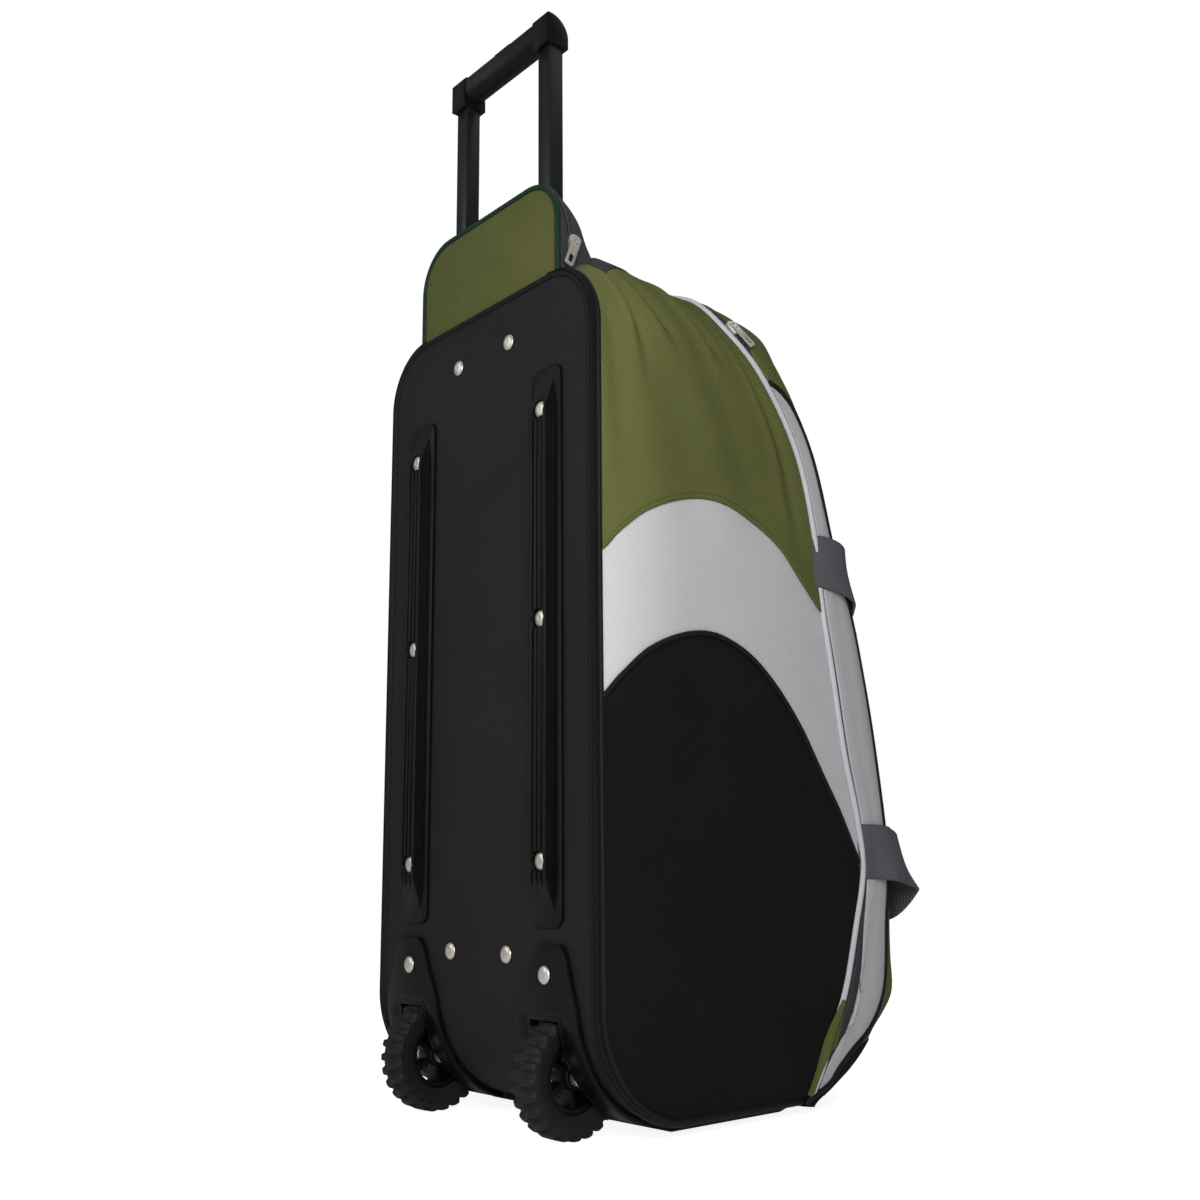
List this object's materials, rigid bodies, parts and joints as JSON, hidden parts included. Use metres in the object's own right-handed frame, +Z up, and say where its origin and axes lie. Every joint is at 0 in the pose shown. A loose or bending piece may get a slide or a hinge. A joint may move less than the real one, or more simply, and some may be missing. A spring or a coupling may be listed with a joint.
{
  "type": "wheeled bag",
  "caption": "Upright soft zipped travel bag with a stiff back, wheels in moulded housings, skid rails and a telescoping pull handle.",
  "frame": {"origin": "middle of the bag's footprint on the floor it stands on", "axes": "+Z up, +Y out of the zipped lid, -Y out of the wheeled back, +X to the right seen from the back"},
  "size_m": [0.31, 0.4498, 0.9665],
  "materials": {
    "black_cloth": "black twill polyester",
    "green_cloth": "olive green twill polyester",
    "silver_cloth": "silver grey twill polyester with a slight sheen",
    "white_piping": "silver white piping",
    "black_piping": "black piping",
    "green_piping": "dark green piping",
    "grey_web": "dark grey webbing and zip tape",
    "black_plastic": "satin black moulded plastic",
    "rubber": "black moulded tread",
    "black_tube": "black coated aluminium tube",
    "nickel": "warm nickel plate"
  },
  "bodies": {
    "bag": {"side_black_right": "black_cloth", "side_black_left": "black_cloth", "side_silver_right": "silver_cloth", "side_silver_left": "silver_cloth", "side_green_right": "green_cloth", "side_green_left": "green_cloth", "seam_piping": "white_piping", "main_zip": "grey_web", "lid_strip_right": "silver_cloth", "lid_strip_left": "silver_cloth", "lid_centre": "green_cloth", "lid_piping_right": "black_piping", "lid_piping_left": "black_piping", "top_panel": "green_cloth", "bottom_panel": "black_cloth", "back_panel": "black_cloth", "edge_piping": "black_piping", "wheel_housing_right": "black_plastic", "wheel_housing_left": "black_plastic", "axle_right": "nickel", "axle_left": "nickel", "skid_rail_right": "black_plastic", "skid_rail_left": "black_plastic", "back_rivet_right": "nickel", "back_rivet_left": "nickel", "rail_rivet_top_right": "nickel", "rail_rivet_top_left": "nickel", "rail_rivet_middle_right": "nickel", "rail_rivet_middle_left": "nickel", "rail_rivet_low_right": "nickel", "rail_rivet_low_left": "nickel", "base_rivet_right": "nickel", "base_rivet_left": "nickel", "housing_rivet_right": "nickel", "housing_rivet_left": "nickel", "handle_guide": "black_tube", "pocket_flap": "green_cloth", "pocket_back": "green_cloth", "pocket_gusset": "grey_web", "pocket_piping": "green_piping", "carry_strap_right": "grey_web", "carry_strap_left": "grey_web", "main_slider": "nickel", "main_puller": "nickel", "pocket_slider": "nickel", "pocket_puller": "nickel"},
    "wheel_right": {"tyre_right": "rubber", "wheel_hub_right": "black_plastic"},
    "wheel_left": {"tyre_left": "rubber", "wheel_hub_left": "black_plastic"},
    "handle": {"handle_tube_right": "black_tube", "handle_tube_left": "black_tube", "grip": "black_plastic"},
    "button": {"release_button": "black_plastic"}
  },
  "joints": [
    {"name": "wheel_right_spin", "type": "hinge", "parent": "bag", "child": "wheel_right", "pos_m": [0.094, -0.17844, 0.0465], "axis": [1, 0, 0], "continuous": true},
    {"name": "wheel_left_spin", "type": "hinge", "parent": "bag", "child": "wheel_left", "pos_m": [-0.094, -0.17844, 0.0465], "axis": [1, 0, 0], "continuous": true},
    {"name": "handle_slide", "type": "slide", "parent": "bag", "child": "handle", "axis": [0, 0, 1], "range_m": [-0.2, 0]},
    {"name": "button_press", "type": "slide", "parent": "handle", "child": "button", "axis": [0, 0, 1], "range_m": [-0.003, 0], "stiffness_N_per_m": 500}
  ]
}
